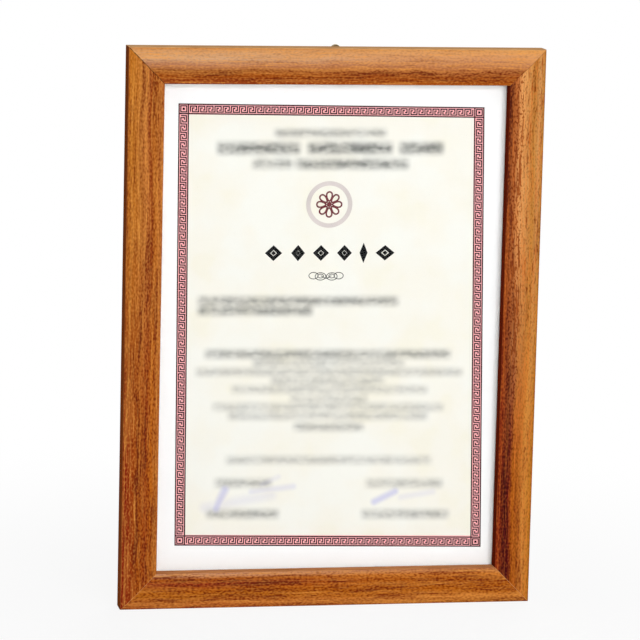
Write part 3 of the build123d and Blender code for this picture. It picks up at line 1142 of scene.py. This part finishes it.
@dataclass
class Rosette(InkLayer):
    """The seal's plain rosette, each petal an oval that narrows towards its tip."""

    name = "seal_rosette"
    ink = PrintInk("seal_ink", shown(104, 40, 46), shown(134, 72, 76), 0.5)
    petals: int = 8
    line: float = 0.95
    middle: float = 4.712
    half_length: float = 2.736
    half_width: float = 1.596
    taper: float = 0.35
    hub_radius: float = 1.5

    def draw(self) -> None:
        """Adds the petals and the hub."""
        centre_x, centre_z = SEAL_CENTRE
        for petal in range(self.petals):
            turn = math.tau * petal / self.petals + math.pi / 2
            way_x, way_z = math.cos(turn), math.sin(turn)
            loop = []
            for sine, cosine in ((math.sin(t), math.cos(t)) for t in (math.tau * i / 20 for i in range(20))):
                out = self.middle - self.half_length * cosine
                side = self.half_width * sine * (1 - self.taper * cosine)
                loop.append((centre_x + out * way_x - side * way_z, centre_z + out * way_z + side * way_x))
            self.ribbon(loop, self.line, lift=LIFT * (petal % 2))
        self.patch(oval(SEAL_CENTRE, self.hub_radius, self.hub_radius, 20))


@dataclass
class Certificate:
    """The printed sheet and the crisp parts of its print."""

    bars: tuple[SoftBar, ...] = tuple(
        SoftBar(*row)
        for row in (
            (-35.5, 115.5, 30.6, 115.7, 2.0, 0.58), (-69.1, 106.6, -20.5, 106.6, 3.2, 0.80),
            (-15.7, 106.7, 34.5, 106.7, 3.2, 0.84), (39.3, 106.8, 65.2, 106.8, 3.2, 0.80),
            (-48.2, 97.3, -25.0, 97.3, 2.6, 0.62), (-22.7, 97.3, 44.4, 97.3, 2.6, 0.80),
            (-79.2, 16.4, 40.6, 15.7, 2.3, 0.70), (-79.0, 10.5, -11.0, 10.0, 2.3, 0.72),
            (-74.4, -15.2, 73.2, -16.4, 2.3, 0.62), (-45.7, -20.8, 45.3, -21.6, 2.1, 0.40),
            (-79.5, -25.9, 80.8, -27.4, 2.1, 0.40), (-34.7, -31.7, 33.5, -32.4, 2.1, 0.40),
            (-57.9, -36.5, 59.8, -37.8, 2.1, 0.38), (-23.0, -42.6, 23.5, -43.1, 2.1, 0.38),
            (-69.0, -46.9, 69.9, -48.5, 2.1, 0.38), (-59.9, -52.4, 60.3, -53.8, 2.1, 0.40),
            (-20.2, -59.5, 21.5, -60.0, 2.1, 0.50), (-60.6, -78.9, 63.5, -80.6, 2.1, 0.42),
            (-66.9, -92.7, -33.3, -93.2, 2.2, 0.52), (24.2, -94.1, 70.6, -94.8, 2.2, 0.50),
            (-71.4, -111.3, -28.6, -112.1, 2.3, 0.60), (22.3, -112.9, 74.9, -113.8, 2.3, 0.56),
        )
    )
    strokes: tuple[PenStroke, ...] = (
        PenStroke((-61.0, -97.0), (-66.0, -108.0), 4.2, 0.42),
        PenStroke((-45.0, -98.5), (-20.0, -95.5), 3.4, 0.20),
        PenStroke((-73.0, -107.5), (-33.0, -100.5), 5.5, 0.14),
        PenStroke((-38.5, -94.0), (-29.0, -89.5), 3.0, 0.12),
        PenStroke((29.5, -105.5), (42.0, -99.5), 3.6, 0.42),
        PenStroke((45.5, -103.0), (65.0, -100.0), 3.4, 0.14),
    )

    def build(self) -> None:
        """Dresses the sheet and prints the border, title, knot and seal on it."""
        face_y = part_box("certificate_sheet")[0].y / MM
        centre_z = (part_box("bottom_rail")[0].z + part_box("top_rail")[1].z) / 2 / MM
        dress("certificate_sheet", PrintedPaper(centre_z, self.bars, self.strokes).material())
        for layer in (Meander, TitleLozenges, Knot, SealRing, Rosette):
            layer(face_y, centre_z).build()


@dataclass
class Back:
    """What closes the frame from behind: card, board, V-nails, turn buttons and screws."""

    buttons: tuple[str, ...] = ("top_left", "top_right", "right", "bottom_right", "bottom_left", "left")
    nail: PlatedSteel = PlatedSteel(
        "nail_steel", shown(140, 141, 145), shown(112, 112, 117), shown(84, 74, 66), 0.36
    )
    button: PlatedSteel = PlatedSteel(
        "button_steel", shown(168, 170, 172), shown(136, 139, 142), shown(104, 101, 95), 0.34
    )
    screw: PlatedSteel = PlatedSteel(
        "screw_steel", shown(198, 180, 126), shown(168, 149, 98), shown(120, 100, 64), 0.28, spot_size=1.1
    )

    def build(self) -> None:
        """Dresses the pieces of the back."""
        dress("backing_card", FillerCard().material())
        dress("backing_board", Hardboard().material())
        dress("v_nails", self.nail.material())
        plated = self.button.material()
        for name in self.buttons:
            dress(f"turn_button_{name}", plated)
        dress("screws", self.screw.material())


@dataclass
class Hanger:
    """The strap and its hanging ring."""

    strap: PlatedSteel = PlatedSteel(
        "strap_brass", shown(190, 164, 104), shown(160, 132, 76), shown(96, 74, 44), 0.3
    )
    wire: PlatedSteel = PlatedSteel(
        "ring_brass", shown(150, 134, 104), shown(110, 96, 70), shown(58, 48, 34), 0.34, spot_size=1.6
    )

    def build(self) -> None:
        """Dresses the strap and the ring."""
        dress("hanger_strap", self.strap.material())
        dress("hanger_ring", self.wire.material())


@dataclass
class WallPads:
    """The two felt pads, each a disc with a softened rim and a matted face.

    Depths and shares run from the wall face to the glued face.
    """

    spokes: int = 48
    rim: float = 0.55
    fuzz: float = 0.07
    dish: float = 0.10
    rim_drop: float = 0.05
    face_shares: tuple[float, ...] = (0.0, 0.3, 0.55, 0.75, 0.88)
    wall_shares: tuple[Point, ...] = ((0.985, 0.5), (0.995, 0.8), (0.985, 0.97), (0.6, 1.0), (0.0, 1.0))

    def profile(self, radius: float, deep: float) -> list[Point]:
        """Lists the pad's outline from the middle of its wall face to the middle of its glued face.

        Args:
            radius: The pad's radius, in metres.
            deep: Its thickness, in metres.

        Returns:
            Places as radius and depth behind the wall face.
        """
        rim = self.rim * MM
        face = [(radius * share, self.dish * MM * share**6) for share in self.face_shares]
        turn = [
            (radius - rim + rim * math.sin(a), rim - rim * math.cos(a) + self.rim_drop * MM)
            for a in (math.pi / 2 * i / 5 for i in range(1, 6))
        ]
        return face + turn + [(radius * out, deep * down) for out, down in self.wall_shares]

    def wobble(self, angle: float, step: int) -> float:
        """Gives how far the felt's edge draws in at an angle, in metres."""
        waves = math.sin(7 * angle + 1.9 * step) + 0.6 * math.sin(17 * angle + 2.7 * step)
        return abs(self.fuzz * MM * waves / 1.6)

    def pad(self, node: str) -> bmesh.types.BMesh:
        """Builds one felt pad's mesh in its CAD solid's place.

        Args:
            node: The CAD node that it stands for.

        Returns:
            The mesh.
        """
        low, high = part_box(node)
        centre = Vector(((low.x + high.x) / 2, high.y, (low.z + high.z) / 2))
        mesh = bmesh.new()
        rings: list[list[bmesh.types.BMVert]] = []
        for step, (radius, deep) in enumerate(self.profile((high.x - low.x) / 2, high.y - low.y)):
            ring = []
            for spoke in range(self.spokes if radius else 1):
                angle = math.tau * spoke / self.spokes
                out = max(0.0, radius - self.wobble(angle, step)) if radius else 0.0
                place = Vector((out * math.cos(angle), -deep, out * math.sin(angle)))
                ring.append(mesh.verts.new(centre + place))
            rings.append(ring)
        skin(mesh, rings)
        bmesh.ops.recalc_face_normals(mesh, faces=mesh.faces)
        for face in mesh.faces:
            face.smooth = True
        return mesh

    def build(self) -> None:
        """Builds both pads in place of their CAD solids."""
        felt = PressedFelt().material()
        for node in ("left_felt_pad", "right_felt_pad"):
            piece = make_piece(f"{node}_felt", self.pad(node), felt)
            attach(piece, "frame")
            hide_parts(node)
            report(piece)


@dataclass(frozen=True)
class Lamp:
    """One soft area lamp that lights the frame's middle from a direction, in degrees and metres."""

    name: str
    azimuth: float
    elevation: float
    distance: float
    size: float
    level: float
    mirrored: bool = True


@dataclass
class Studio:
    """The floor, world, lamps and camera."""

    lamps: tuple[Lamp, ...] = (
        Lamp("key_lamp", 6.0, 12.0, 2.5, 1.4, 0.775, mirrored=False),
        Lamp("top_lamp", 10.0, 70.0, 1.5, 0.9, 0.06),
        Lamp("back_lamp", 155.0, 18.0, 1.9, 1.4, 0.60),
    )
    seeing_rays: tuple[str, ...] = ("Camera", "Glossy", "Transmission")
    least_slant: float = 0.25
    world_level: float = 0.12
    floor_reach: float = 16.0
    floor_glow: float = 0.88
    white_from: float = 60.0
    white_to: float = 520.0
    camera_place: tuple[float, float, float] = (-0.41333, -2.11945, 0.19232)
    camera_right: tuple[float, float, float] = (0.98241414, -0.18516502, 0.02400784)
    camera_up: tuple[float, float, float] = (0.0067364, 0.16364636, 0.98649607)
    camera_lens: float = 208.017
    camera_sensor: float = 36.0
    camera_clip: Point = (0.01, 60.0)

    @property
    def middle(self) -> Vector:
        """Gives the middle of the frame's box."""
        return (Vector(CAD_BOX[0]) + Vector(CAD_BOX[1])) / 2

    def seen(self, shader: Shader) -> Value:
        """Gives 1 where a camera, a mirror or a pane sees a point, and 0 where it only lights."""
        path = shader.node("ShaderNodeLightPath")
        return reduce(Value.most, [Value(shader, path[f"Is {ray} Ray"]) for ray in self.seeing_rays])

    def set_world(self) -> None:
        """Lights the scene evenly and shows white behind it."""
        world = bpy.data.worlds.new("studio")
        bpy.context.scene.world = world
        shader = Shader("studio", world)
        strength = self.world_level + self.seen(shader) * (1 - self.world_level)
        background = shader.node("ShaderNodeBackground", None, {"Color": even(1.0), "Strength": strength})[0]
        shader.node("ShaderNodeOutputWorld", None, {"Surface": background})

    def floor_material(self) -> Material:
        """Builds the floor's finish.

        Returns:
            A pale matt material that keeps shadows and reads white further out.
        """
        shader = Shader("studio_floor")
        x, y, _ = shader.axes()
        grain = shader.noise((x / 9, y / 9, 0.0), 3.0)
        far = ((x - self.middle.x / MM) ** 2 + (y - self.middle.y / MM) ** 2) ** 0.5
        colour = shader.mix(grain.rise(0.3, 0.7) * 0.3, even(0.86), even(0.83))
        matt = shader.node("ShaderNodeBsdfDiffuse", None, {"Color": colour})[0]
        white = shader.node("ShaderNodeEmission", None, {"Color": even(1.0), "Strength": 1.0})[0]
        glow = self.floor_glow + far.rise(self.white_from, self.white_to) * (1 - self.floor_glow)
        return shader.blend(self.seen(shader) * glow, matt, white)

    def set_floor(self) -> None:
        """Lays the floor under the frame."""
        mesh = bmesh.new()
        bmesh.ops.create_grid(mesh, x_segments=8, y_segments=8, size=self.floor_reach)
        floor = make_piece("studio_floor", mesh, self.floor_material())
        floor.location = (0.0, 0.0, CAD_BOX[0][2])

    def set_lamps(self) -> None:
        """Places the lamps round the frame's middle."""
        for lamp in self.lamps:
            azimuth, elevation = math.radians(lamp.azimuth), math.radians(lamp.elevation)
            flat = math.cos(elevation)
            way = Vector((math.sin(azimuth) * flat, -math.cos(azimuth) * flat, math.sin(elevation)))
            data = bpy.data.lights.new(lamp.name, "AREA")
            data.shape = "SQUARE"
            data.size = lamp.size
            data.energy = math.pi**2 * lamp.distance**2 * lamp.level / max(self.least_slant, abs(way.y))
            thing = place_object(lamp.name, data)
            thing.location = self.middle + way * lamp.distance
            thing.rotation_euler = way.to_track_quat("Z", "Y").to_euler()
            thing.visible_glossy = lamp.mirrored

    def set_camera(self) -> None:
        """Places the camera at the photograph's viewing angle."""
        right, up = Vector(self.camera_right), Vector(self.camera_up)
        data = bpy.data.cameras.new("camera")
        data.lens = self.camera_lens
        data.sensor_width = self.camera_sensor
        data.clip_start, data.clip_end = self.camera_clip
        camera = place_object("camera", data)
        turn = Matrix((right, up, right.cross(up))).transposed().to_4x4()
        camera.matrix_world = Matrix.Translation(Vector(self.camera_place)) @ turn
        bpy.context.scene.camera = camera

    def build(self) -> None:
        """Sets up the whole studio."""
        bpy.context.scene.view_settings.view_transform = "Standard"
        self.set_camera()
        self.set_world()
        self.set_floor()
        self.set_lamps()
        log.info("studio: %d lamps", len(self.lamps))


def main() -> None:
    """Builds the studio and every part of the frame in order."""
    logging.basicConfig(level=logging.INFO, format="%(name)s: %(message)s")
    Studio().build()
    Moulding().build()
    dress("glass_pane", ClearGlass().material())
    for part in (Certificate(), Back(), Hanger(), WallPads()):
        part.build()


if __name__ == "__main__":
    main()
